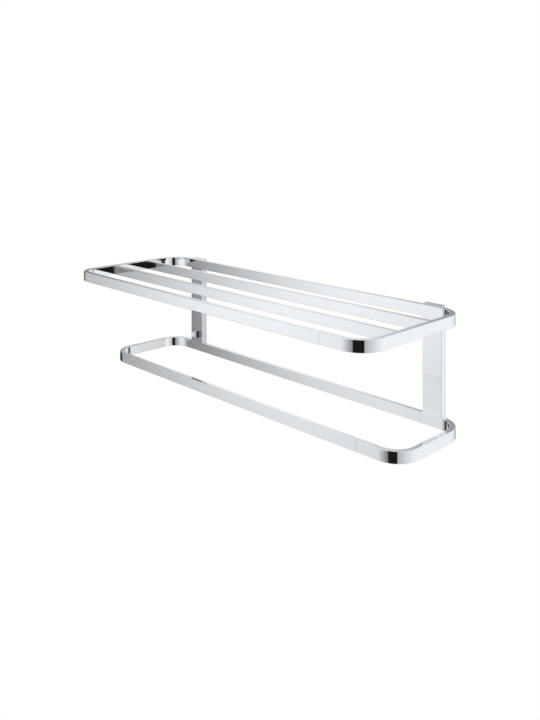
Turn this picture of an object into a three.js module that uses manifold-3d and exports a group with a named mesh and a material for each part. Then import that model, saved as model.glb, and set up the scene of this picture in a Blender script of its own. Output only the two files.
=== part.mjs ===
// Wall-mounted towel rack: a slatted shelf above a shallower towel loop, both
// made of flat bar on edge and carried by two flat posts against the wall.
//
// Frame: millimetres, +Z up, +X to the right along the rack, the wall at +Y.
// The origin is on the wall plane, halfway between the posts and halfway up
// them, so the back of the rack lies at y = 0 and its front at negative y.

import * as THREE from 'three';
import { mergeVertices } from 'three/addons/utils/BufferGeometryUtils.js';
import Module from 'manifold-3d';

// ---------------------------------------------------------------- overall
const RACK_WIDTH = 600;
const RACK_HEIGHT = 159;
const SHELF_REACH = 219; // wall to the front face of the shelf's front rail
const TOWEL_REACH = 152; // wall to the front face of the towel loop
const GAP = 0.3; // clearance kept between neighbouring pieces

// ---------------------------------------------------------------- flat bar
const BAR_HEIGHT = 15;
const BAR_THICKNESS = 7.6;
// Outer radii of the loops' rounded corners.
const TOWEL_BENDS = { frontLeft: 34, frontRight: 34, rearRight: 37, rearLeft: 37 };
const SHELF_BENDS = { ...TOWEL_BENDS, frontLeft: 28 };
const SQUARE = { frontLeft: 0, frontRight: 0, rearRight: 0, rearLeft: 0 };
const BEND_STEPS = 10; // flats along each quarter bend
const EDGE = 0.5; // small chamfer on the long edges

const SLAT_HEIGHT = 14;
const SLAT_REACHES = { front: 155, rear: 87 }; // wall to each slat's front face
const TENON = { thickness: 4, height: 8, length: 3.5 };

// ---------------------------------------------------------------- joints
// Each loop is a long U and a short U, pinned together beside the right post.
const JOINT_X = 232.8;
const SPLICE_PIN = { radius: 1.5, length: 20, offset: 4.6 };

// ---------------------------------------------------------------- posts
const POST_X = 247; // middle of each post, left and right of the centre
const POST_WIDTH = 30;
const COVER = { depth: 7.2, side: 2, end: 3, front: 2.6 };
const HOOK_RIB = { width: 3.6, depth: 1.5, height: 3 };

// A flat wall plate with a raised hanger on it. The hanger's four corner
// tongues reach past the rail screws: the cover hangs on the upper two and is
// clamped against the lower two.
const WALL_PLATE_THICKNESS = 3;
const HANGER = { width: 24, thickness: 4.3, notchWidth: 14.8, notchDepth: 9 };
const WALL_HOLE = { height: 45, radius: 2.6, sinkRadius: 5, sinkDepth: 2.4 };

// ---------------------------------------------------------------- fasteners
const RAIL_SCREW = {
  offset: 3.4,
  shankRadius: 1.5,
  shankLength: 8,
  headRadius: 2.75,
  headHeight: 2,
  socketRadius: 1.3,
  socketDepth: 1.1,
};
const GRUB_SCREW = { radius: 1.5, length: 2.8, socketRadius: 0.85, socketDepth: 1.4 };
const ROUND_SIDES = 12;
const SOCKET_SIDES = 6;

// ---------------------------------------------------------------- derived
const TOP = RACK_HEIGHT / 2;
const LEVELS = { shelf: TOP, towel: -TOP + BAR_HEIGHT }; // top of each loop
const COVER_BACK = -(WALL_PLATE_THICKNESS + GAP);
const COVER_FACE = COVER_BACK - COVER.depth;
const COVER_FLOOR = COVER_FACE + COVER.front; // inside of the front wall
const RAIL_BACK = COVER_FACE - GAP; // back face of both rear rails
const END_INNER_X = RACK_WIDTH / 2 - BAR_THICKNESS;
const HANGER_TOP = TOP - COVER.end - GAP;
const HANGER_FACE = -(WALL_PLATE_THICKNESS + HANGER.thickness);
const TONGUE_X = (HANGER.width + HANGER.notchWidth) / 4;
const GRUB_Y = (COVER_BACK + HANGER_FACE) / 2;
const SIDES = { left: -1, right: 1 };

// ---------------------------------------------------------------- looks
function metal(name, color, roughness) {
  const material = new THREE.MeshStandardMaterial({ color, roughness, metalness: 1 });
  material.name = name;
  return material;
}

const chrome = metal('chrome', 0xdfe1e6, 0.05);
const steel = metal('steel', 0x9a9ca0, 0.35);

// ---------------------------------------------------------------- solids
const wasm = await Module();
wasm.setup();

// Turns a closed three.js geometry into a solid for cutting and joining.
function toSolid(geometry) {
  const bare = geometry.clone();
  bare.deleteAttribute('normal');
  bare.deleteAttribute('uv');
  const merged = mergeVertices(bare, 1e-4);
  const vertProperties = new Float32Array(merged.attributes.position.array);
  const triVerts = new Uint32Array(merged.index.array);
  return new wasm.Manifold(new wasm.Mesh({ numProp: 3, vertProperties, triVerts }));
}

// Turns a solid back into a three.js geometry.
function toGeometry(solid) {
  const mesh = solid.getMesh();
  const geometry = new THREE.BufferGeometry();
  geometry.setAttribute('position', new THREE.BufferAttribute(mesh.vertProperties, 3));
  geometry.setIndex(new THREE.BufferAttribute(mesh.triVerts, 1));
  geometry.computeVertexNormals();
  return geometry;
}

function block(sizeX, sizeY, sizeZ, x, y, z) {
  return toSolid(new THREE.BoxGeometry(sizeX, sizeY, sizeZ).translate(x, y, z));
}

// A round rod or drill centred on a point, its axis along x, y or z. A rod
// along y may taper to endRadius at its wall end.
function rod(axis, radius, length, [x, y, z], endRadius = radius) {
  const shape = new THREE.CylinderGeometry(endRadius, radius, length, ROUND_SIDES);
  if (axis === 'x') shape.rotateZ(-Math.PI / 2);
  if (axis === 'z') shape.rotateX(Math.PI / 2);
  return toSolid(shape.translate(x, y, z));
}

function union(solids) {
  return solids.reduce((whole, solid) => whole.add(solid));
}

// An outline extruded with a small chamfer round both of its faces.
function chamferedExtrusion(outline, depth) {
  return new THREE.ExtrudeGeometry(outline, {
    depth: depth - 2 * EDGE,
    bevelEnabled: true,
    bevelThickness: EDGE,
    bevelSize: EDGE,
    bevelOffset: -EDGE,
    bevelSegments: 1,
    curveSegments: BEND_STEPS,
  });
}

// A plan outline pushed up into a bar whose top lies at the given height.
function barFromOutline(outline, height, top) {
  const bar = chamferedExtrusion(outline, height);
  return toSolid(bar.translate(0, 0, top - height + EDGE));
}

// An upright plate as tall as the rack, its back at the given y.
function uprightPlate(width, height, depth, x, back) {
  const outline = roundedRectangle(new THREE.Shape(), width, height, 0, SQUARE);
  const plate = chamferedExtrusion(outline, depth).rotateX(Math.PI / 2);
  return toSolid(plate.translate(x, back - EDGE, 0));
}

// Traces a rectangle centred on x = 0, its four corners rounded by the given radii.
function roundedRectangle(path, width, depth, middleY, radii) {
  const { frontLeft, frontRight, rearRight, rearLeft } = radii;
  const left = -width / 2;
  const right = width / 2;
  const front = middleY - depth / 2;
  const back = middleY + depth / 2;
  const corner = (x, y, radius, start) => {
    if (radius) path.absarc(x, y, radius, start, start + Math.PI / 2);
  };
  path.moveTo(left + frontLeft, front);
  path.lineTo(right - frontRight, front);
  corner(right - frontRight, front + frontRight, frontRight, -Math.PI / 2);
  path.lineTo(right, back - rearRight);
  corner(right - rearRight, back - rearRight, rearRight, 0);
  path.lineTo(left + rearLeft, back);
  corner(left + rearLeft, back - rearLeft, rearLeft, Math.PI / 2);
  path.lineTo(left, front + frontLeft);
  corner(left + frontLeft, front + frontLeft, frontLeft, Math.PI);
  path.closePath();
  return path;
}

// ---------------------------------------------------------------- loops
// A whole rounded loop of flat bar, from the wall side out to its reach.
function ring(reach, top, bends) {
  const depth = reach + RAIL_BACK;
  const middleY = (RAIL_BACK - reach) / 2;
  const outline = roundedRectangle(new THREE.Shape(), RACK_WIDTH, depth, middleY, bends);
  const holeWidth = RACK_WIDTH - 2 * BAR_THICKNESS;
  const holeDepth = depth - 2 * BAR_THICKNESS;
  const holeBends = Object.fromEntries(
    Object.entries(bends).map(([corner, radius]) => [corner, radius - BAR_THICKNESS]),
  );
  outline.holes.push(roundedRectangle(new THREE.Path(), holeWidth, holeDepth, middleY, holeBends));
  return barFromOutline(outline, BAR_HEIGHT, top);
}

// Centres of the four splice pins of a loop, keyed by rail and level.
function splicePinPlaces(reach, top) {
  const middles = { front: -reach + BAR_THICKNESS / 2, rear: RAIL_BACK - BAR_THICKNESS / 2 };
  const levels = { upper: SPLICE_PIN.offset, lower: -SPLICE_PIN.offset };
  const places = {};
  for (const [rail, y] of Object.entries(middles)) {
    for (const [level, rise] of Object.entries(levels)) {
      places[`${rail}_${level}`] = [JOINT_X, y, top - BAR_HEIGHT / 2 + rise];
    }
  }
  return places;
}

// Centre lines of the two screws that hold one loop to one post.
function railScrewXs(side) {
  const middle = side * POST_X;
  return { outer: middle + side * RAIL_SCREW.offset, inner: middle - side * RAIL_SCREW.offset };
}

function spliceHoles(reach, top) {
  const length = SPLICE_PIN.length + 2 * GAP;
  const places = Object.values(splicePinPlaces(reach, top));
  return union(places.map((place) => rod('x', SPLICE_PIN.radius + GAP, length, place)));
}

function railScrewHoles(top) {
  const depth = RAIL_SCREW.shankLength - COVER.front + GAP;
  const xs = Object.values(SIDES).flatMap((side) => Object.values(railScrewXs(side)));
  const z = top - BAR_HEIGHT / 2;
  const radius = RAIL_SCREW.shankRadius + GAP;
  return union(xs.map((x) => rod('y', radius, 2 * depth, [x, RAIL_BACK, z])));
}

// Mortises in the end rails' inner faces for the tenons of both slats.
function slatMortises() {
  const length = 2 * (TENON.length + GAP);
  const thickness = TENON.thickness + 2 * GAP;
  const height = TENON.height + 2 * GAP;
  const z = LEVELS.shelf - SLAT_HEIGHT / 2;
  const cuts = [];
  for (const reach of Object.values(SLAT_REACHES)) {
    for (const side of Object.values(SIDES)) {
      const y = -reach + BAR_THICKNESS / 2;
      cuts.push(block(length, thickness, height, side * END_INNER_X, y, z));
    }
  }
  return union(cuts);
}

// Cuts a loop at the joint into its long and its short U.
function splitAtJoint(loop) {
  const size = 2 * RACK_WIDTH;
  const longSide = block(size, size, size, JOINT_X - GAP / 2 - size / 2, 0, 0);
  const shortSide = block(size, size, size, JOINT_X + GAP / 2 + size / 2, 0, 0);
  return { main: loop.intersect(longSide), end: loop.intersect(shortSide) };
}

function shelfFrame() {
  const frame = ring(SHELF_REACH, LEVELS.shelf, SHELF_BENDS)
    .subtract(spliceHoles(SHELF_REACH, LEVELS.shelf))
    .subtract(railScrewHoles(LEVELS.shelf))
    .subtract(slatMortises());
  return splitAtJoint(frame);
}

function towelLoop() {
  const loop = ring(TOWEL_REACH, LEVELS.towel, TOWEL_BENDS)
    .subtract(spliceHoles(TOWEL_REACH, LEVELS.towel))
    .subtract(railScrewHoles(LEVELS.towel));
  return splitAtJoint(loop);
}

function shelfSlat(reach) {
  const length = 2 * (END_INNER_X - GAP);
  const middleY = -reach + BAR_THICKNESS / 2;
  const outline = roundedRectangle(new THREE.Shape(), length, BAR_THICKNESS, middleY, SQUARE);
  const slat = barFromOutline(outline, SLAT_HEIGHT, LEVELS.shelf);
  const tenonSpan = length + 2 * TENON.length;
  const z = LEVELS.shelf - SLAT_HEIGHT / 2;
  return slat.add(block(tenonSpan, TENON.thickness, TENON.height, 0, middleY, z));
}

// ---------------------------------------------------------------- posts
// The visible shell of a post: open towards the wall, with two ribs under its
// top that hook behind the hanger.
function postCover(side) {
  const x = side * POST_X;
  const shell = uprightPlate(POST_WIDTH, RACK_HEIGHT, COVER.depth, x, COVER_BACK);
  const innerWidth = POST_WIDTH - 2 * COVER.side;
  const innerHeight = RACK_HEIGHT - 2 * COVER.end;
  const innerDepth = 2 * (COVER_BACK - COVER_FLOOR);
  const hollow = block(innerWidth, innerDepth, innerHeight, x, COVER_BACK, 0);
  const ribZ = TOP - COVER.end - HOOK_RIB.height / 2;
  const ribY = COVER_BACK - HOOK_RIB.depth / 2;
  const ribs = [-TONGUE_X, TONGUE_X].map((offset) => {
    // Each rib runs half a millimetre up into the top wall, so that they join.
    const height = HOOK_RIB.height + EDGE;
    return block(HOOK_RIB.width, HOOK_RIB.depth, height, x + offset, ribY, ribZ + EDGE / 2);
  });
  const screwHoles = Object.values(railScrewXs(side)).flatMap((screwX) => {
    const radius = RAIL_SCREW.shankRadius + GAP;
    const heights = Object.values(LEVELS).map((top) => top - BAR_HEIGHT / 2);
    return heights.map((z) => rod('y', radius, 4 * COVER.front, [screwX, COVER_FACE, z]));
  });
  const grubHoles = [-TONGUE_X, TONGUE_X].map((offset) => {
    return rod('z', GRUB_SCREW.radius + GAP, 4 * COVER.end, [x + offset, GRUB_Y, -TOP]);
  });
  return shell.subtract(hollow).add(union(ribs)).subtract(union([...screwHoles, ...grubHoles]));
}

// The wall plate with its raised hanger, notched at both ends for the rail
// screws and drilled and countersunk for two wall screws.
function wallBracket(side) {
  const x = side * POST_X;
  const plate = uprightPlate(POST_WIDTH, RACK_HEIGHT, WALL_PLATE_THICKNESS, x, 0);
  const overlap = WALL_PLATE_THICKNESS / 2;
  const thickness = HANGER.thickness + overlap;
  const hanger = block(
    HANGER.width, thickness, 2 * HANGER_TOP, x, HANGER_FACE + thickness / 2, 0,
  );
  const notches = [-1, 1].map((end) => {
    const z = end * HANGER_TOP;
    const y = -WALL_PLATE_THICKNESS - HANGER.thickness;
    return block(HANGER.notchWidth, 2 * HANGER.thickness, 2 * HANGER.notchDepth, x, y, z);
  });
  const hookDepth = 2 * (HOOK_RIB.depth + 2 * GAP);
  const hookHeight = 2 * (HOOK_RIB.height + GAP);
  const hookSlot = block(
    HANGER.width + 2 * GAP, hookDepth, hookHeight, x, -WALL_PLATE_THICKNESS, HANGER_TOP,
  );
  const raised = hanger.subtract(union(notches)).subtract(hookSlot);
  const sinkY = HANGER_FACE + WALL_HOLE.sinkDepth / 2;
  const wallHoles = [-1, 1].flatMap((end) => {
    const z = end * WALL_HOLE.height;
    const drill = rod('y', WALL_HOLE.radius, 4 * HANGER.thickness, [x, -HANGER.thickness, z]);
    const { radius, sinkRadius, sinkDepth } = WALL_HOLE;
    const sink = rod('y', sinkRadius, sinkDepth, [x, sinkY, z], radius);
    return [drill, sink];
  });
  return plate.add(raised).subtract(union(wallHoles));
}

// ---------------------------------------------------------------- fasteners
function socket(radius, depth) {
  return new THREE.CylinderGeometry(radius, radius, 2 * depth, SOCKET_SIDES);
}

// A round-headed screw on its own axis: shank along +y, head below y = 0.
function railScrewShape() {
  const { shankRadius, shankLength, headRadius, headHeight } = RAIL_SCREW;
  const profile = [
    new THREE.Vector2(0, -headHeight),
    new THREE.Vector2(headRadius * 0.75, -headHeight),
    new THREE.Vector2(headRadius, -headHeight * 0.55),
    new THREE.Vector2(headRadius, 0),
    new THREE.Vector2(shankRadius, 0),
    new THREE.Vector2(shankRadius, shankLength - EDGE),
    new THREE.Vector2(shankRadius - EDGE, shankLength),
    new THREE.Vector2(0, shankLength),
  ];
  const body = toSolid(new THREE.LatheGeometry(profile, ROUND_SIDES));
  const recess = socket(RAIL_SCREW.socketRadius, RAIL_SCREW.socketDepth);
  return toGeometry(body.subtract(toSolid(recess.translate(0, -headHeight, 0))));
}

// A headless screw on its own axis, its socket at the lower end.
function grubScrewShape() {
  const { radius, length } = GRUB_SCREW;
  const profile = [
    new THREE.Vector2(0, 0),
    new THREE.Vector2(radius, 0),
    new THREE.Vector2(radius, length - EDGE),
    new THREE.Vector2(radius - EDGE, length),
    new THREE.Vector2(0, length),
  ];
  const body = toSolid(new THREE.LatheGeometry(profile, ROUND_SIDES));
  return toGeometry(body.subtract(toSolid(socket(GRUB_SCREW.socketRadius, GRUB_SCREW.socketDepth))));
}

function splicePinShape() {
  const { radius, length } = SPLICE_PIN;
  const half = length / 2;
  const profile = [
    new THREE.Vector2(0, -half),
    new THREE.Vector2(radius - EDGE, -half),
    new THREE.Vector2(radius, -half + EDGE),
    new THREE.Vector2(radius, half - EDGE),
    new THREE.Vector2(radius - EDGE, half),
    new THREE.Vector2(0, half),
  ];
  return new THREE.LatheGeometry(profile, ROUND_SIDES);
}

// ---------------------------------------------------------------- assembly
const rack = new THREE.Group();

function addPiece(name, geometry, material) {
  const mesh = new THREE.Mesh(geometry, material);
  mesh.name = name;
  rack.add(mesh);
  return mesh;
}

function addLoop(prefix, loop) {
  addPiece(`${prefix}_main`, toGeometry(loop.main), chrome);
  addPiece(`${prefix}_end`, toGeometry(loop.end), chrome);
}

function addSplicePins(prefix, reach, top) {
  for (const [key, place] of Object.entries(splicePinPlaces(reach, top))) {
    const pin = addPiece(`${prefix}_${key}_splice_pin`, splicePinShape(), steel);
    pin.rotation.z = Math.PI / 2;
    pin.position.set(...place);
  }
}

function addPost(name, side) {
  addPiece(`post_cover_${name}`, toGeometry(postCover(side)), chrome);
  addPiece(`wall_bracket_${name}`, toGeometry(wallBracket(side)), chrome);
}

// Two screws per loop, put in from inside the cover, their shanks forward.
function addRailScrews(name, side) {
  for (const [level, top] of Object.entries(LEVELS)) {
    for (const [place, x] of Object.entries(railScrewXs(side))) {
      const screw = addPiece(`${level}_screw_${name}_${place}`, railScrewShape(), steel);
      screw.rotation.x = Math.PI;
      screw.position.set(x, COVER_FLOOR + GAP, top - BAR_HEIGHT / 2);
    }
  }
}

// Two screws under each post that clamp its cover against the hanger.
function addGrubScrews(name, side) {
  const offsets = { inner: -side * TONGUE_X, outer: side * TONGUE_X };
  for (const [place, offset] of Object.entries(offsets)) {
    const screw = addPiece(`grub_screw_${name}_${place}`, grubScrewShape(), steel);
    screw.rotation.x = Math.PI / 2;
    screw.position.set(side * POST_X + offset, GRUB_Y, -TOP + GAP);
  }
}

addLoop('shelf_frame', shelfFrame());
for (const [name, reach] of Object.entries(SLAT_REACHES)) {
  addPiece(`shelf_slat_${name}`, toGeometry(shelfSlat(reach)), chrome);
}
addSplicePins('shelf', SHELF_REACH, LEVELS.shelf);
addLoop('towel_loop', towelLoop());
addSplicePins('towel', TOWEL_REACH, LEVELS.towel);
for (const [name, side] of Object.entries(SIDES)) {
  addPost(name, side);
  addRailScrews(name, side);
  addGrubScrews(name, side);
}

export default rack;
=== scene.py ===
"""Towel rack in polished chrome: a slatted shelf over a shallower towel loop.

Metres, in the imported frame: +X right along the rack, +Y into the wall, +Z up, with the
origin on the wall plane halfway between the posts. Every CAD node is replaced by one
finely rounded piece that takes its place and size from the node's box.
"""

import math

import bmesh
import bpy
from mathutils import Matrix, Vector

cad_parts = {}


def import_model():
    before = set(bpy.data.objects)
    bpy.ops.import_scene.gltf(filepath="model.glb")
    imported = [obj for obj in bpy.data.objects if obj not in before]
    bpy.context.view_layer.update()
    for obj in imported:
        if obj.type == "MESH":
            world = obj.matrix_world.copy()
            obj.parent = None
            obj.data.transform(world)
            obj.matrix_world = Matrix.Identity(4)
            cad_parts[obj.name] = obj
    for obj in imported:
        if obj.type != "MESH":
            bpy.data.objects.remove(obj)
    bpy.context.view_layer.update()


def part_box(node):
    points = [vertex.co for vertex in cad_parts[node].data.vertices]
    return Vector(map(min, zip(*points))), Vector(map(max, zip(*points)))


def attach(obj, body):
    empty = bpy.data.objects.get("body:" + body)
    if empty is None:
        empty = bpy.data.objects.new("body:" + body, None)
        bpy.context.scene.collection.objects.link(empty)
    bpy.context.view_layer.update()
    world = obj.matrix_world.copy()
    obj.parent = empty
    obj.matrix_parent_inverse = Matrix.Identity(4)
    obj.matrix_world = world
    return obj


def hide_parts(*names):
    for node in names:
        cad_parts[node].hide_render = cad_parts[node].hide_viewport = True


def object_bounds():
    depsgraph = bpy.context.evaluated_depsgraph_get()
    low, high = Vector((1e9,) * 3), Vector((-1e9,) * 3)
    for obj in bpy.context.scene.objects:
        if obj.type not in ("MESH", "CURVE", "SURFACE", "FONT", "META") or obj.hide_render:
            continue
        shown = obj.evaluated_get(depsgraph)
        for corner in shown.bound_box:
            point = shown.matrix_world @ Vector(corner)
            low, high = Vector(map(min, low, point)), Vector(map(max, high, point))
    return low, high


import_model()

MM = 0.001
X, Y, Z = Vector((1, 0, 0)), Vector((0, 1, 0)), Vector((0, 0, 1))

# ------------------------------------------------------------------ names
SIDES = ("left", "right")
OUTWARD = {"left": -1, "right": 1}  # the way along X from the middle to each side
LEVELS = ("shelf", "towel")
LOOPS = {"shelf": "shelf_frame", "towel": "towel_loop"}
LOOP_HALVES = (("main", "left"), ("end", "right"))  # the U's of a loop and their sides
RANKS = ("front", "rear")
PLACES = ("outer", "inner")

# ------------------------------------------------------------------ bars
slat_low, slat_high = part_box("shelf_slat_front")
BAR_THICKNESS = slat_high.y - slat_low.y
EDGE_RADIUS = 0.7 * MM  # the polished long edges
EDGE_STEPS = 5  # faces across a rounded edge
FRONT_BEND = 34 * MM  # outer radii of the loops' rounded corners
REAR_BEND = 37 * MM
TIGHT_BEND = 28 * MM  # the shelf's front left corner
BEND_STEPS = 64

FIT_GAP = 0.3 * MM  # clearance that the CAD keeps between neighbours
FRONT_SEAM_GAP = 0.2 * MM  # what is left of it between a loop's halves, in front
REAR_SEAM_GAP = 0.03 * MM
SEAM_RADIUS = 0.06 * MM  # the edge of a bar's end at a pinned joint
CONTACT_GAP = 0.05 * MM  # what is left of the clearance where a slat meets the frame

TENON_LENGTH = 3.5 * MM  # the part that stands out of the slat; as much is inside it
TENON_THICKNESS = 4 * MM
TENON_HEIGHT = 8 * MM
TENON_EDGE = 0.3 * MM

# ------------------------------------------------------------------ posts
COVER_SIDE_WALL = 2 * MM
COVER_END_WALL = 3 * MM
COVER_FRONT_WALL = 2.6 * MM
COVER_EDGE = 0.6 * MM
HOOK_RIB = Vector((3.6, 1.5, 3)) * MM
HOOK_RIB_SUNK = 0.5 * MM  # how far a rib reaches into the cover's top wall

WALL_PLATE_THICKNESS = 3 * MM
HANGER_WIDTH = 24 * MM
HANGER_EDGE = 0.15 * MM
NOTCH_WIDTH = 14.8 * MM
NOTCH_DEPTH = 9 * MM
WALL_HOLE_HEIGHT = 45 * MM
WALL_HOLE_RADIUS = 2.6 * MM
WALL_SINK_RADIUS = 5 * MM
WALL_SINK_DEPTH = 2.4 * MM
WALL_FACING = 0.9  # a face whose normal has more of +Y than this faces the wall

# ------------------------------------------------------------------ fasteners
SCREW_SHANK_RADIUS = 1.5 * MM
SCREW_HOLE_RADIUS = SCREW_SHANK_RADIUS + FIT_GAP
SCREW_HEAD_HEIGHT = 2 * MM
SCREW_CROWN_HEIGHT = 0.9 * MM  # the rounded part of the head
SCREW_CROWN_INSET = 0.25  # how much of the head's radius the crown draws in
SCREW_SOCKET_RADIUS = 1.3 * MM
SCREW_SOCKET_DEPTH = 1.1 * MM
GRUB_SOCKET_RADIUS = 0.85 * MM
GRUB_SOCKET_DEPTH = 1.4 * MM
THREAD_PITCH = 0.5 * MM
THREAD_DEPTH = 0.27 * MM
THREAD_ROWS = 6  # rows of points in one turn of thread
TIP_PART = 3  # the tip of a pin or screw is one part in three of its radius
ROUND_SIDES = 40
HEXAGON = 6

# ------------------------------------------------------------------ finish
SMOOTH_ANGLE = math.radians(32)
FLAT_WEIGHT = 100  # how firmly the large faces keep their flat shading

# ------------------------------------------------------------------ camera
CAMERA_PLACE = (0.83736, -0.89127, 0.32055)
CAMERA_TURN = math.radians(45.55)
CAMERA_LENS = 39.02
CAMERA_SHIFT = -0.3285  # the camera is level, and looks down by this shift
CAMERA_REACH = 200

# ------------------------------------------------------------------ light
# Directions are degrees counter-clockwise from +X as seen from above. A shade of 0 is
# black and 1 is paper white.
WHITE = 1.0
TENT_MIDDLE = (0.0, -0.111)
TENT_RADIUS = 0.583
TENT_TOP = 0.6
TENT_COLUMNS = 1440
DOME_ROWS = 12

# Three soft panels stand round the rack: (start, middle, end, shade in the middle, how
# much darker the foot is).
PANELS = (
    (-42, 30, 88, 0.95, 0.02),
    (88, 132, 173, 0.92, -0.06),
    (192, 240, 307, 0.95, 0.07),
)
PANEL_EDGE_SHADE = 0.52
FOOT_TOP = -0.06  # the panels change from here down to FOOT_BOTTOM
FOOT_BOTTOM = -0.31
FOOT_ROWS = 4

# The dark room shows in three gaps: (start, end, top). The camera stands in front of the
# first one, which cuts into the first panel.
GAPS = ((307, 334, 0.3), (173, 192, 0.03), (72, 88, -0.15))
GAP_SHADE = 0.1

CAP_SHADE = 0.93  # overhead
GROUND_SHADE = 0.86
COOL_TINT = Vector((0.975, 1.0, 1.025))  # of the cloth
WARM_TINT = Vector((1.1, 1.03, 0.9))  # of the room in the gaps
CHROME_REFLECTANCE = 0.91

FLOOR_DROP = 1.1  # from the rack's lowest point
FLOOR_REACH = 40  # from the middle to each side


# ================================================================== meshes
def add_object(name, data):
    """Links a new object that holds the given mesh or camera."""
    item = bpy.data.objects.new(name, data)
    bpy.context.scene.collection.objects.link(item)
    return item


def mesh_object(name, points, faces):
    """A linked object with closed, outward-facing mesh."""
    mesh = bpy.data.meshes.new(name)
    mesh.from_pydata([tuple(p) for p in points], [], faces)
    shape = bmesh.new()
    shape.from_mesh(mesh)
    bmesh.ops.recalc_face_normals(shape, faces=shape.faces)
    shape.to_mesh(mesh)
    shape.free()
    return add_object(name, mesh)


def ring_quads(rings, count):
    """Quads that join neighbouring rings, for a number of rings of count points each."""
    faces = []
    for ring in range(rings - 1):
        for i in range(count):
            j = (i + 1) % count
            a = ring * count
            b = a + count
            faces.append((a + i, a + j, b + j, b + i))
    return faces


def closed_rings(rings):
    """Points and faces of rings of equal count, joined up and closed at both ends."""
    points = [p for ring in rings for p in ring]
    count = len(rings[0])
    faces = ring_quads(len(rings), count)
    faces.append(tuple(range(count)))
    faces.append(tuple(range(len(points) - count, len(points))))
    return points, faces


def quarter_turn():
    """Angles from nothing to a quarter turn, one for each step of a rounded edge."""
    return [math.pi / 2 * step / EDGE_STEPS for step in range(EDGE_STEPS + 1)]


def rounded_section(width, height, radius):
    """Outline of a bar's section, centred, as (across, up) pairs."""
    outline = []
    corners = ((1, 1, 0), (-1, 1, 90), (-1, -1, 180), (1, -1, 270))
    for side, end, start in corners:
        for step in range(EDGE_STEPS + 1):
            angle = math.radians(start + 90 * step / EDGE_STEPS)
            across = side * (width / 2 - radius) + radius * math.cos(angle)
            up = end * (height / 2 - radius) + radius * math.sin(angle)
            outline.append((across, up))
    return outline


def bar(name, stations, width, height, end_radius):
    """A flat bar swept through stations, each (middle, outward, along)."""
    rings = []

    def add_ring(station, shift, inset):
        """Adds the section at a station, shifted along the bar and drawn in all round."""
        middle, outward, along = station
        outline = rounded_section(
            width - 2 * inset, height - 2 * inset, EDGE_RADIUS - inset,
        )
        place = middle + along * shift
        rings.append([place + outward * across + Z * up for across, up in outline])

    first, last = stations[0], stations[-1]
    for angle in reversed(quarter_turn()):
        depth = end_radius * (1 - math.sin(angle))
        add_ring(first, depth, end_radius * (1 - math.cos(angle)))
    for station in stations[1:-1]:
        add_ring(station, 0, 0)
    for angle in quarter_turn():
        depth = end_radius * (1 - math.sin(angle))
        add_ring(last, -depth, end_radius * (1 - math.cos(angle)))
    return mesh_object(name, *closed_rings(rings))


def bend(middle, radius, start, end):
    """Stations round a bend, from one angle to another, in degrees."""
    way = 1 if end > start else -1
    stations = []
    for step in range(BEND_STEPS + 1):
        angle = math.radians(start + (end - start) * step / BEND_STEPS)
        outward = Vector((math.cos(angle), math.sin(angle), 0))
        along = Vector((-math.sin(angle), math.cos(angle), 0)) * way
        stations.append((middle + outward * radius, outward, along))
    return stations


def block(name, low, high, edge=0.0, keep_flat=None):
    """A box between two corners, with rounded edges except round the side kept flat."""
    shape = bmesh.new()
    bmesh.ops.create_cube(shape, size=1)
    middle = (low + high) / 2
    size = high - low
    for vertex in shape.verts:
        vertex.co = middle + Vector(a * b for a, b in zip(vertex.co, size))
    if edge:
        edges = shape.edges[:]
        if keep_flat is not None:
            edges = [
                e for e in edges
                if any((v.co - middle).dot(keep_flat) < 0 for v in e.verts)
            ]
        bmesh.ops.bevel(
            shape, geom=edges, offset=edge, segments=EDGE_STEPS, profile=0.5,
            affect="EDGES", clamp_overlap=True,
        )
    mesh = bpy.data.meshes.new(name)
    shape.to_mesh(mesh)
    shape.free()
    return add_object(name, mesh)


def turned(name, profile, base, axis, sides=ROUND_SIDES, thread=None):
    """A round piece: (radius, height) pairs turned about an axis from its base.

    thread is the (start, end) heights between which a helical thread is cut.
    """
    turn = Z.rotation_difference(axis)
    rings = []
    for radius, height in profile:
        ring = []
        for i in range(sides):
            share = i / sides
            angle = math.tau * share
            depth = thread_cut(height, share, thread) if thread else 0
            reach = radius - depth
            ring.append(Vector((reach * math.cos(angle), reach * math.sin(angle), height)))
        rings.append([base + turn @ point for point in ring])
    return mesh_object(name, *closed_rings(rings))


def thread_cut(height, share, thread):
    """How deep the thread's groove is at a height and a share of a turn."""
    start, end = thread
    if not start < height < end:
        return 0
    phase = (height / THREAD_PITCH - share) % 1
    groove = 1 - abs(2 * phase - 1)
    fade = min(1, (height - start) / THREAD_PITCH, (end - height) / THREAD_PITCH)
    return THREAD_DEPTH * groove * fade


def threaded_profile(radius, start, end):
    """Rows close enough together to carry a thread between two heights."""
    rows = round((end - start) / THREAD_PITCH * THREAD_ROWS)
    return [(radius, start + (end - start) * row / rows) for row in range(rows + 1)]


def round_tool(base, axis, radius, depth, end_radius=None, sides=ROUND_SIDES):
    """A round or hexagonal cutter, which may widen or narrow to another radius."""
    last = radius if end_radius is None else end_radius
    return turned("cutter", [(radius, 0), (last, depth)], base, axis, sides)


def combine(piece, tools, operation):
    """Cuts the tool objects out of a piece, or joins them to it, and removes them."""
    for tool in tools:
        step = piece.modifiers.new("combine", "BOOLEAN")
        step.operation = operation
        step.solver = "EXACT"
        step.object = tool
        graph = bpy.context.evaluated_depsgraph_get()
        result = bpy.data.meshes.new_from_object(piece.evaluated_get(graph), depsgraph=graph)
        piece.modifiers.clear()
        spent = piece.data
        piece.data = result
        bpy.data.meshes.remove(spent)
        spent = tool.data
        bpy.data.objects.remove(tool)
        bpy.data.meshes.remove(spent)
    return piece


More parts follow.
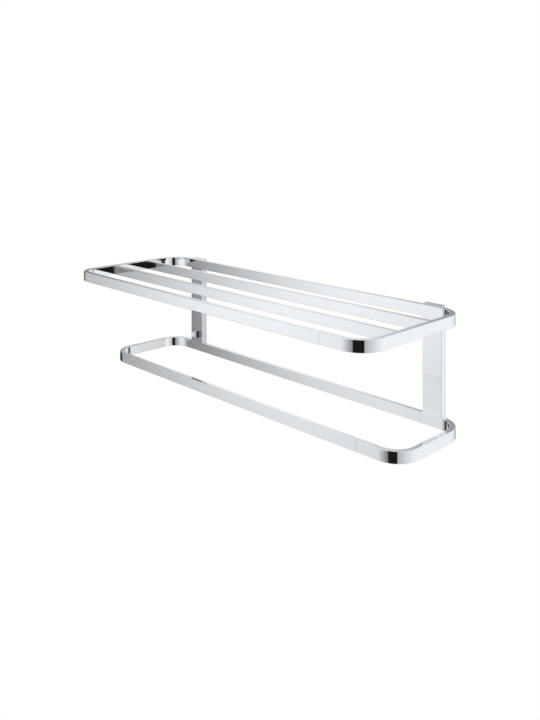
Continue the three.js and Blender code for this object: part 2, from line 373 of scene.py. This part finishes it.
def finish_piece(piece, node, slot, *materials):
    """Shades a piece, gives it its material, hangs it on the root body and hides its CAD node.
    """
    mesh = piece.data
    mesh.name = piece.name
    mesh.shade_smooth()
    mesh.set_sharp_from_angle(angle=SMOOTH_ANGLE)
    for material in materials:
        mesh.materials.append(material)
    flats = piece.modifiers.new("flat faces stay flat", "WEIGHTED_NORMAL")
    flats.mode = "FACE_AREA"
    flats.weight = FLAT_WEIGHT
    flats.keep_sharp = True
    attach(piece, "root")
    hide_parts(node)
    return piece


def fine(node):
    """Name of the piece that replaces a node."""
    return f"{node}.fine"


def node_box(node):
    """Lowest corner, highest corner and middle of a node."""
    low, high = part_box(node)
    return low, high, (low + high) / 2


def box_middle(node):
    """Middle of a node."""
    return node_box(node)[2]


# ================================================================== materials
def new_material(name):
    """An empty metal material with its nodes, its links and its shader."""
    material = bpy.data.materials.new(name)
    material.use_nodes = True
    nodes = material.node_tree.nodes
    shader = nodes["Principled BSDF"]
    shader.inputs["Metallic"].default_value = 1
    return material, nodes, material.node_tree.links, shader


def noise(nodes, links, scale, detail=2.0, stretch=None):
    """Noise in the piece's own space, scale in features per metre."""
    place = nodes.new("ShaderNodeTexCoord").outputs["Object"]
    if stretch is not None:
        mapping = nodes.new("ShaderNodeMapping")
        mapping.inputs["Scale"].default_value = stretch
        links.new(place, mapping.inputs["Vector"])
        place = mapping.outputs["Vector"]
    pattern = nodes.new("ShaderNodeTexNoise")
    pattern.inputs["Scale"].default_value = scale
    pattern.inputs["Detail"].default_value = detail
    links.new(place, pattern.inputs["Vector"])
    return pattern.outputs["Fac"]


def spread(nodes, links, value, low, high, start=0.35, end=0.65):
    """Maps a noise value from the range start to end to the range low to high."""
    ranged = nodes.new("ShaderNodeMapRange")
    ranged.inputs["From Min"].default_value = start
    ranged.inputs["From Max"].default_value = end
    ranged.inputs["To Min"].default_value = low
    ranged.inputs["To Max"].default_value = high
    links.new(value, ranged.inputs["Value"])
    return ranged.outputs["Result"]


def add_values(nodes, links, first, second):
    """The sum of two values."""
    total = nodes.new("ShaderNodeMath")
    total.operation = "ADD"
    links.new(first, total.inputs[0])
    links.new(second, total.inputs[1])
    return total.outputs["Value"]


def tint_by(nodes, links, value, dark, light):
    """A colour between two, by a value."""
    mix = nodes.new("ShaderNodeMix")
    mix.data_type = "RGBA"
    mix.inputs["A"].default_value = (*dark, 1)
    mix.inputs["B"].default_value = (*light, 1)
    links.new(value, mix.inputs["Factor"])
    return mix.outputs["Result"]


def relief(nodes, links, height, depth, below=None):
    """A surface normal from a height value, depth in metres, over another relief."""
    bump = nodes.new("ShaderNodeBump")
    bump.inputs["Strength"].default_value = 1
    bump.inputs["Distance"].default_value = depth
    links.new(height, bump.inputs["Height"])
    if below is not None:
        links.new(below, bump.inputs["Normal"])
    return bump.outputs["Normal"]


def chrome_material():
    """Bright chrome plate: a mirror with faint polishing waves, haze and hairlines."""
    material, nodes, links, shader = new_material("polished_chrome")
    haze = noise(nodes, links, scale=45, detail=3)
    tint = tint_by(nodes, links, haze, (0.885, 0.895, 0.905), (0.915, 0.922, 0.93))
    links.new(tint, shader.inputs["Base Color"])
    hairlines = noise(nodes, links, scale=900, detail=4, stretch=(0.05, 0.05, 1))
    soft = spread(nodes, links, haze, low=0.012, high=0.024)
    fine_lines = spread(nodes, links, hairlines, low=0.0, high=0.012, start=0.5, end=0.8)
    links.new(add_values(nodes, links, soft, fine_lines), shader.inputs["Roughness"])
    waves = relief(nodes, links, noise(nodes, links, scale=30, detail=1), depth=2e-6)
    scratches = relief(nodes, links, hairlines, depth=1e-7, below=waves)
    links.new(scratches, shader.inputs["Normal"])
    return material


def cast_material():
    """The satin wall side of the brackets: plated zinc, as cast."""
    material, nodes, links, shader = new_material("satin_cast_plate")
    cloud = noise(nodes, links, scale=120, detail=4)
    tint = tint_by(nodes, links, cloud, (0.66, 0.67, 0.68), (0.78, 0.785, 0.79))
    links.new(tint, shader.inputs["Base Color"])
    links.new(spread(nodes, links, cloud, low=0.24, high=0.4), shader.inputs["Roughness"])
    grain = noise(nodes, links, scale=1800, detail=3)
    links.new(relief(nodes, links, grain, depth=1.2e-5), shader.inputs["Normal"])
    return material


def steel_material():
    """Turned stainless steel of the pins and screws, with fine tool rings."""
    material, nodes, links, shader = new_material("turned_steel")
    cloud = noise(nodes, links, scale=400, detail=3)
    tint = tint_by(nodes, links, cloud, (0.5, 0.51, 0.52), (0.64, 0.645, 0.65))
    links.new(tint, shader.inputs["Base Color"])
    rings = noise(nodes, links, scale=5000, detail=2)
    links.new(spread(nodes, links, rings, low=0.2, high=0.36), shader.inputs["Roughness"])
    links.new(relief(nodes, links, rings, depth=3e-6), shader.inputs["Normal"])
    return material


chrome = chrome_material()
cast = cast_material()
steel = steel_material()


# ================================================================== bars
def splice_pins(level):
    """Nodes of the four pins that join a loop's halves."""
    return [f"{level}_{rank}_{row}_splice_pin" for rank in RANKS for row in ("upper", "lower")]


def pin_holes(level):
    """Cutters for the holes that a loop's splice pins sit in."""
    cutters = []
    for node in splice_pins(level):
        low, high, middle = node_box(node)
        radius = (high.z - low.z) / 2 + FIT_GAP
        start = Vector((low.x - FIT_GAP, middle.y, middle.z))
        cutters.append(round_tool(start, X, radius, high.x - low.x + 2 * FIT_GAP))
    return cutters


def rail_screw_holes(level, side):
    """Cutters for the holes in a rear rail that one post's screws turn in."""
    cutters = []
    for place in PLACES:
        low, high, middle = node_box(f"{level}_screw_{side}_{place}")
        start = Vector((middle.x, high.y, middle.z))
        cutters.append(round_tool(start, -Y, SCREW_HOLE_RADIUS, high.y - low.y + FIT_GAP))
    return cutters


def tenon_block(name, ends, middle, slack=0.0, edge=0.0):
    """A block of a tenon's section, with slack round it, between two places along X."""
    half = Vector((0, TENON_THICKNESS / 2 + slack, TENON_HEIGHT / 2 + slack))
    start, end = sorted(ends)
    corner_low = Vector((start, middle.y, middle.z)) - half
    corner_high = Vector((end, middle.y, middle.z)) + half
    return block(name, corner_low, corner_high, edge)


def slat_mortises(side):
    """Cutters for the pockets in an end rail that the slats' tenons sit in."""
    cutters = []
    for rank in RANKS:
        low, high, middle = node_box(f"shelf_slat_{rank}")
        tip = low.x if side == "left" else high.x
        ends = (tip + OUTWARD[side] * FIT_GAP, tip - OUTWARD[side] * 2 * TENON_LENGTH)
        cutters.append(tenon_block("cutter", ends, middle, slack=FIT_GAP))
    return cutters


def loop_half(node, side, tools):
    """One U of a loop: two rails, two bends and an end rail on the given side."""
    low, high, middle = node_box(node)
    out = OUTWARD[side]
    end_x, joint_x = (low.x, high.x) if side == "left" else (high.x, low.x)
    half_bar = BAR_THICKNESS / 2
    front_radius = TIGHT_BEND if node == "shelf_frame_main" else FRONT_BEND
    front_bend = Vector((end_x - out * front_radius, low.y + front_radius, middle.z))
    rear_bend = Vector((end_x - out * REAR_BEND, high.y - REAR_BEND, middle.z))
    front_joint = joint_x - out * (FIT_GAP - FRONT_SEAM_GAP) / 2
    rear_joint = joint_x - out * (FIT_GAP - REAR_SEAM_GAP) / 2
    sideways = 180 if side == "left" else 360  # direction of the end rail, in degrees
    stations = [(Vector((front_joint, low.y + half_bar, middle.z)), -Y, X * out)]
    stations += bend(front_bend, front_radius - half_bar, 270, sideways)
    stations += bend(rear_bend, REAR_BEND - half_bar, sideways % 360, 90)
    stations.append((Vector((rear_joint, high.y - half_bar, middle.z)), Y, X * -out))
    piece = bar(fine(node), stations, BAR_THICKNESS, high.z - low.z, SEAM_RADIUS)
    combine(piece, tools, "DIFFERENCE")
    return finish_piece(piece, node, "chrome", chrome)


def slat(node):
    """A straight slat with a tenon at each end."""
    low, high, middle = node_box(node)
    shoulder = TENON_LENGTH + CONTACT_GAP - FIT_GAP
    left = Vector((low.x + shoulder, middle.y, middle.z))
    right = Vector((high.x - shoulder, middle.y, middle.z))
    stations = [(place, -Y, X) for place in (left, right)]
    piece = bar(fine(node), stations, BAR_THICKNESS, high.z - low.z, CONTACT_GAP)
    both_ends = (
        (low.x, low.x + 2 * TENON_LENGTH),
        (high.x - 2 * TENON_LENGTH, high.x),
    )
    tenons = [tenon_block("tenon", ends, middle, edge=TENON_EDGE) for ends in both_ends]
    combine(piece, tenons, "UNION")
    return finish_piece(piece, node, "chrome", chrome)


def splice_pin(node):
    """A plain dowel with rounded ends."""
    low, high, middle = node_box(node)
    radius = (high.z - low.z) / 2
    length = high.x - low.x
    tip = radius / TIP_PART
    profile = [
        (radius - tip + tip * math.sin(angle), tip * (1 - math.cos(angle)))
        for angle in quarter_turn()
    ]
    profile += [(r, length - h) for r, h in reversed(profile)]
    piece = turned(fine(node), profile, Vector((low.x, middle.y, middle.z)), X)
    return finish_piece(piece, node, "steel", steel)


# ================================================================== posts
def through_hole(place, axis, wall):
    """A cutter for a screw hole through a wall, from a place on the wall's outer face."""
    return round_tool(place - axis * wall, axis, SCREW_HOLE_RADIUS, 3 * wall)


def cover_holes(side, low):
    """Cutters for a cover's holes: rail screws in its front, grub screws in its foot."""
    cutters = []
    for level in LEVELS:
        for place in PLACES:
            screw = box_middle(f"{level}_screw_{side}_{place}")
            mouth = Vector((screw.x, low.y, screw.z))
            cutters.append(through_hole(mouth, Y, COVER_FRONT_WALL))
    for place in PLACES:
        grub = box_middle(f"grub_screw_{side}_{place}")
        mouth = Vector((grub.x, grub.y, low.z))
        cutters.append(through_hole(mouth, Z, COVER_END_WALL))
    return cutters


def hook_ribs(side, high):
    """The ribs under a cover's top wall, which hook behind the hanger."""
    ribs = []
    top = high.z - COVER_END_WALL
    for place in PLACES:
        rib_x = box_middle(f"grub_screw_{side}_{place}").x
        rib_low = Vector((rib_x - HOOK_RIB.x / 2, high.y - HOOK_RIB.y, top - HOOK_RIB.z))
        rib_high = Vector((rib_x + HOOK_RIB.x / 2, high.y, top + HOOK_RIB_SUNK))
        ribs.append(block("rib", rib_low, rib_high))
    return ribs


def post_cover(side):
    """The shell of a post: open to the wall, with two ribs that hook on the hanger."""
    node = f"post_cover_{side}"
    low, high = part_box(node)
    piece = block(fine(node), low, high, COVER_EDGE, keep_flat=Y)
    walls = Vector((COVER_SIDE_WALL, COVER_FRONT_WALL, COVER_END_WALL))
    hollow_high = high - walls
    hollow_high.y = high.y + COVER_FRONT_WALL
    hollow = block("cutter", low + walls, hollow_high)
    combine(piece, [hollow] + cover_holes(side, low), "DIFFERENCE")
    combine(piece, hook_ribs(side, high), "UNION")
    return finish_piece(piece, node, "chrome", chrome)


def hanger_cutters(middle_x, front_y, plate_y, hanger_top):
    """Cutters for the hanger's notches at both ends and the groove for the hook ribs."""
    cutters = []
    half_notch = NOTCH_WIDTH / 2
    for end in (-1, 1):
        foot, top = sorted(end * (hanger_top + way * NOTCH_DEPTH) for way in (-1, 1))
        notch_low = Vector((middle_x - half_notch, front_y - NOTCH_DEPTH, foot))
        notch_high = Vector((middle_x + half_notch, plate_y, top))
        cutters.append(block("cutter", notch_low, notch_high))
    half_groove = HANGER_WIDTH / 2 + FIT_GAP
    groove_y = plate_y - HOOK_RIB.y - 2 * FIT_GAP
    groove_z = hanger_top - HOOK_RIB.z - FIT_GAP
    groove_low = Vector((middle_x - half_groove, groove_y, groove_z))
    groove_high = Vector((middle_x + half_groove, plate_y, hanger_top + HOOK_RIB.z))
    cutters.append(block("cutter", groove_low, groove_high))
    return cutters


def wall_holes(middle_x, front_y, wall_y):
    """Cutters for the two countersunk holes that the wall screws go through."""
    cutters = []
    slope = (WALL_SINK_RADIUS - WALL_HOLE_RADIUS) / WALL_SINK_DEPTH
    mouth = WALL_SINK_RADIUS + slope * FIT_GAP
    foot = WALL_HOLE_RADIUS - slope * FIT_GAP
    depth = wall_y - front_y + 2 * FIT_GAP
    for end in (-1, 1):
        start = Vector((middle_x, front_y - FIT_GAP, end * WALL_HOLE_HEIGHT))
        cutters.append(round_tool(start, Y, WALL_HOLE_RADIUS, depth))
        cutters.append(round_tool(start, Y, mouth, WALL_SINK_DEPTH + 2 * FIT_GAP, foot))
    return cutters


def wall_bracket(side):
    """The wall plate with its notched hanger and two countersunk holes."""
    node = f"wall_bracket_{side}"
    low, high, middle = node_box(node)
    plate_y = high.y - WALL_PLATE_THICKNESS
    cover_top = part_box(f"post_cover_{side}")[1].z
    hanger_top = cover_top - COVER_END_WALL - FIT_GAP
    piece = block(fine(node), Vector((low.x, plate_y, low.z)), high, HANGER_EDGE)
    half = HANGER_WIDTH / 2
    hanger_low = Vector((middle.x - half, low.y, -hanger_top))
    hanger_high = Vector((middle.x + half, plate_y + WALL_PLATE_THICKNESS / 2, hanger_top))
    hanger = block("hanger", hanger_low, hanger_high, HANGER_EDGE)
    combine(piece, [hanger], "UNION")
    cutters = hanger_cutters(middle.x, low.y, plate_y, hanger_top)
    cutters += wall_holes(middle.x, low.y, high.y)
    combine(piece, cutters, "DIFFERENCE")
    finish_piece(piece, node, "chrome", chrome, cast)
    for face in piece.data.polygons:
        if face.normal.y > WALL_FACING and face.center.y > high.y - FIT_GAP:
            face.material_index = 1
    return piece


# ================================================================== fasteners
def rail_screw(node):
    """A button-head screw: hexagonal socket at the wall side, thread forward."""
    low, high, middle = node_box(node)
    head_radius = (high.z - low.z) / 2
    length = high.y - low.y
    under_head = length - SCREW_HEAD_HEIGHT
    under_crown = length - SCREW_CROWN_HEIGHT
    tip = SCREW_SHANK_RADIUS / TIP_PART
    profile = [(SCREW_SHANK_RADIUS - tip, 0)]
    profile += threaded_profile(SCREW_SHANK_RADIUS, tip, under_head)
    profile.append((head_radius, under_head))
    for angle in quarter_turn():
        inset = head_radius * SCREW_CROWN_INSET * (1 - math.cos(angle))
        rise = SCREW_CROWN_HEIGHT * math.sin(angle)
        profile.append((head_radius - inset, under_crown + rise))
    base = Vector((middle.x, low.y, middle.z))
    piece = turned(fine(node), profile, base, Y, thread=(tip, under_head - THREAD_PITCH))
    start = Vector((middle.x, high.y - SCREW_SOCKET_DEPTH, middle.z))
    depth = 2 * SCREW_SOCKET_DEPTH
    socket = round_tool(start, Y, SCREW_SOCKET_RADIUS, depth, sides=HEXAGON)
    combine(piece, [socket], "DIFFERENCE")
    return finish_piece(piece, node, "steel", steel)


def grub_screw(node):
    """A headless screw with its hexagonal socket at the lower end."""
    low, high, middle = node_box(node)
    radius = (high.x - low.x) / 2
    length = high.z - low.z
    tip = radius / TIP_PART
    profile = [(radius - tip / 2, 0)]
    profile += threaded_profile(radius, tip / 2, length - tip)
    profile.append((radius - tip, length))
    base = Vector((middle.x, middle.y, low.z))
    piece = turned(fine(node), profile, base, Z, thread=(tip / 2, length - tip))
    start = Vector((middle.x, middle.y, low.z - GRUB_SOCKET_DEPTH))
    depth = 2 * GRUB_SOCKET_DEPTH
    socket = round_tool(start, Z, GRUB_SOCKET_RADIUS, depth, sides=HEXAGON)
    combine(piece, [socket], "DIFFERENCE")
    return finish_piece(piece, node, "steel", steel)


# ================================================================== studio
def to_linear(shade):
    """Linear light of a shade, by the usual display curve."""
    return shade / 12.92 if shade <= 0.04045 else ((shade + 0.055) / 1.055) ** 2.4


def panel_shade(direction, height):
    """Shade of the wall, brightest in each panel's middle and falling off to its edges."""
    foot = min(1, max(0, (FOOT_TOP - height) / (FOOT_TOP - FOOT_BOTTOM)))
    for start, middle, end, shade, drop in PANELS:
        turned_by = (direction - start) % 360 + start
        if turned_by <= end:
            half_width = middle - start if turned_by < middle else end - middle
            off = (turned_by - middle) / half_width
            return shade - (shade - PANEL_EDGE_SHADE) * off ** 2 - drop * foot
    return PANEL_EDGE_SHADE


def tent_glow(direction, height, rise):
    """Linear colour of the tent; rise goes from 0 at the wall's top to 1 overhead."""
    if any(start <= direction <= end and height <= top for start, end, top in GAPS):
        return WARM_TINT * to_linear(GAP_SHADE) / CHROME_REFLECTANCE
    wall = panel_shade(direction, height)
    shade = wall + (CAP_SHADE - wall) * rise
    return COOL_TINT * to_linear(shade) / CHROME_REFLECTANCE


def tent_rows(floor_z):
    """The tent's rings from the floor to the top, as (radius, height, rise)."""
    foot = FOOT_TOP - FOOT_BOTTOM
    heights = {floor_z, FOOT_TOP, TENT_TOP}
    heights |= {FOOT_BOTTOM + foot * step / FOOT_ROWS for step in range(FOOT_ROWS)}
    for _, _, top in GAPS:
        heights |= {top, top + MM}
    rows = [(TENT_RADIUS, z, 0) for z in sorted(heights)]
    for step in range(1, DOME_ROWS):
        angle = math.pi / 2 * step / DOME_ROWS
        rise = math.sin(angle)
        rows.append((TENT_RADIUS * math.cos(angle), TENT_TOP + TENT_RADIUS * rise, rise))
    return rows


def glow_material(name, strength=1.0, attribute=None):
    """An evenly glowing material, white or in the colours of a mesh attribute."""
    material = bpy.data.materials.new(name)
    material.use_nodes = True
    nodes, links = material.node_tree.nodes, material.node_tree.links
    nodes.remove(nodes["Principled BSDF"])
    light = nodes.new("ShaderNodeEmission")
    light.inputs["Color"].default_value = (WHITE, WHITE, WHITE, 1)
    light.inputs["Strength"].default_value = strength
    if attribute:
        reader = nodes.new("ShaderNodeAttribute")
        reader.attribute_name = attribute
        links.new(reader.outputs["Color"], light.inputs["Color"])
    links.new(light.outputs["Emission"], nodes["Material Output"].inputs["Surface"])
    material.cycles.emission_sampling = "NONE"
    return material


def light_tent(floor_z):
    """A round cloth tent that the chrome mirrors and the camera does not see."""
    points, colours = [], []
    rows = tent_rows(floor_z)
    for radius, z, rise in rows:
        for column in range(TENT_COLUMNS):
            direction = 360 * column / TENT_COLUMNS
            angle = math.radians(direction)
            x = TENT_MIDDLE[0] + radius * math.cos(angle)
            y = TENT_MIDDLE[1] + radius * math.sin(angle)
            points.append((x, y, z))
            colours.append(tent_glow(direction, z, rise))
    faces = ring_quads(len(rows), TENT_COLUMNS)
    faces.append(tuple(range(len(points) - TENT_COLUMNS, len(points))))
    mesh = bpy.data.meshes.new("light_tent")
    mesh.from_pydata(points, [], faces)
    paint = mesh.color_attributes.new("glow", "FLOAT_COLOR", "POINT")
    for entry, colour in zip(paint.data, colours):
        entry.color = (*colour, 1)
    tent = add_object("light_tent", mesh)
    mesh.materials.append(glow_material("tent_cloth", attribute="glow"))
    tent.visible_camera = False


def pale_floor(floor_z):
    """A plain pale floor, and just above it the ground that only the chrome mirrors."""
    corners = ((-1, -1), (1, -1), (1, 1), (-1, 1))
    planes = (
        ("floor", floor_z, WHITE, True),
        ("tent_ground", floor_z + MM, GROUND_SHADE, False),
    )
    for name, z, shade, seen in planes:
        mesh = bpy.data.meshes.new(name)
        points = [(x * FLOOR_REACH, y * FLOOR_REACH, z) for x, y in corners]
        mesh.from_pydata(points, [], [(0, 1, 2, 3)])
        plane = add_object(name, mesh)
        mesh.materials.append(glow_material(name, to_linear(shade)))
        plane.visible_camera = seen


def camera():
    """A level camera from the right, in front of the rack and a little above it."""
    data = bpy.data.cameras.new("camera")
    data.lens = CAMERA_LENS
    data.shift_y = CAMERA_SHIFT
    data.clip_end = CAMERA_REACH
    eye = add_object("camera", data)
    eye.location = CAMERA_PLACE
    eye.rotation_euler = (math.pi / 2, 0, CAMERA_TURN)
    bpy.context.scene.camera = eye


def world():
    """A plain white background."""
    sky = bpy.data.worlds.new("white_studio")
    sky.use_nodes = True
    backdrop = sky.node_tree.nodes["Background"]
    backdrop.inputs["Color"].default_value = (WHITE, WHITE, WHITE, 1)
    bpy.context.scene.world = sky
    bpy.context.scene.view_settings.view_transform = "Standard"


# ================================================================== assembly
camera()
world()

for level in LEVELS:
    for half, side in LOOP_HALVES:
        cutters = pin_holes(level) + rail_screw_holes(level, side)
        if level == "shelf":
            cutters += slat_mortises(side)
        loop_half(f"{LOOPS[level]}_{half}", side, cutters)
    for node in splice_pins(level):
        splice_pin(node)

for rank in RANKS:
    slat(f"shelf_slat_{rank}")

for side in SIDES:
    post_cover(side)
    wall_bracket(side)
    for place in PLACES:
        grub_screw(f"grub_screw_{side}_{place}")
        for level in LEVELS:
            rail_screw(f"{level}_screw_{side}_{place}")

floor_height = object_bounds()[0].z - FLOOR_DROP
light_tent(floor_height)
pale_floor(floor_height)
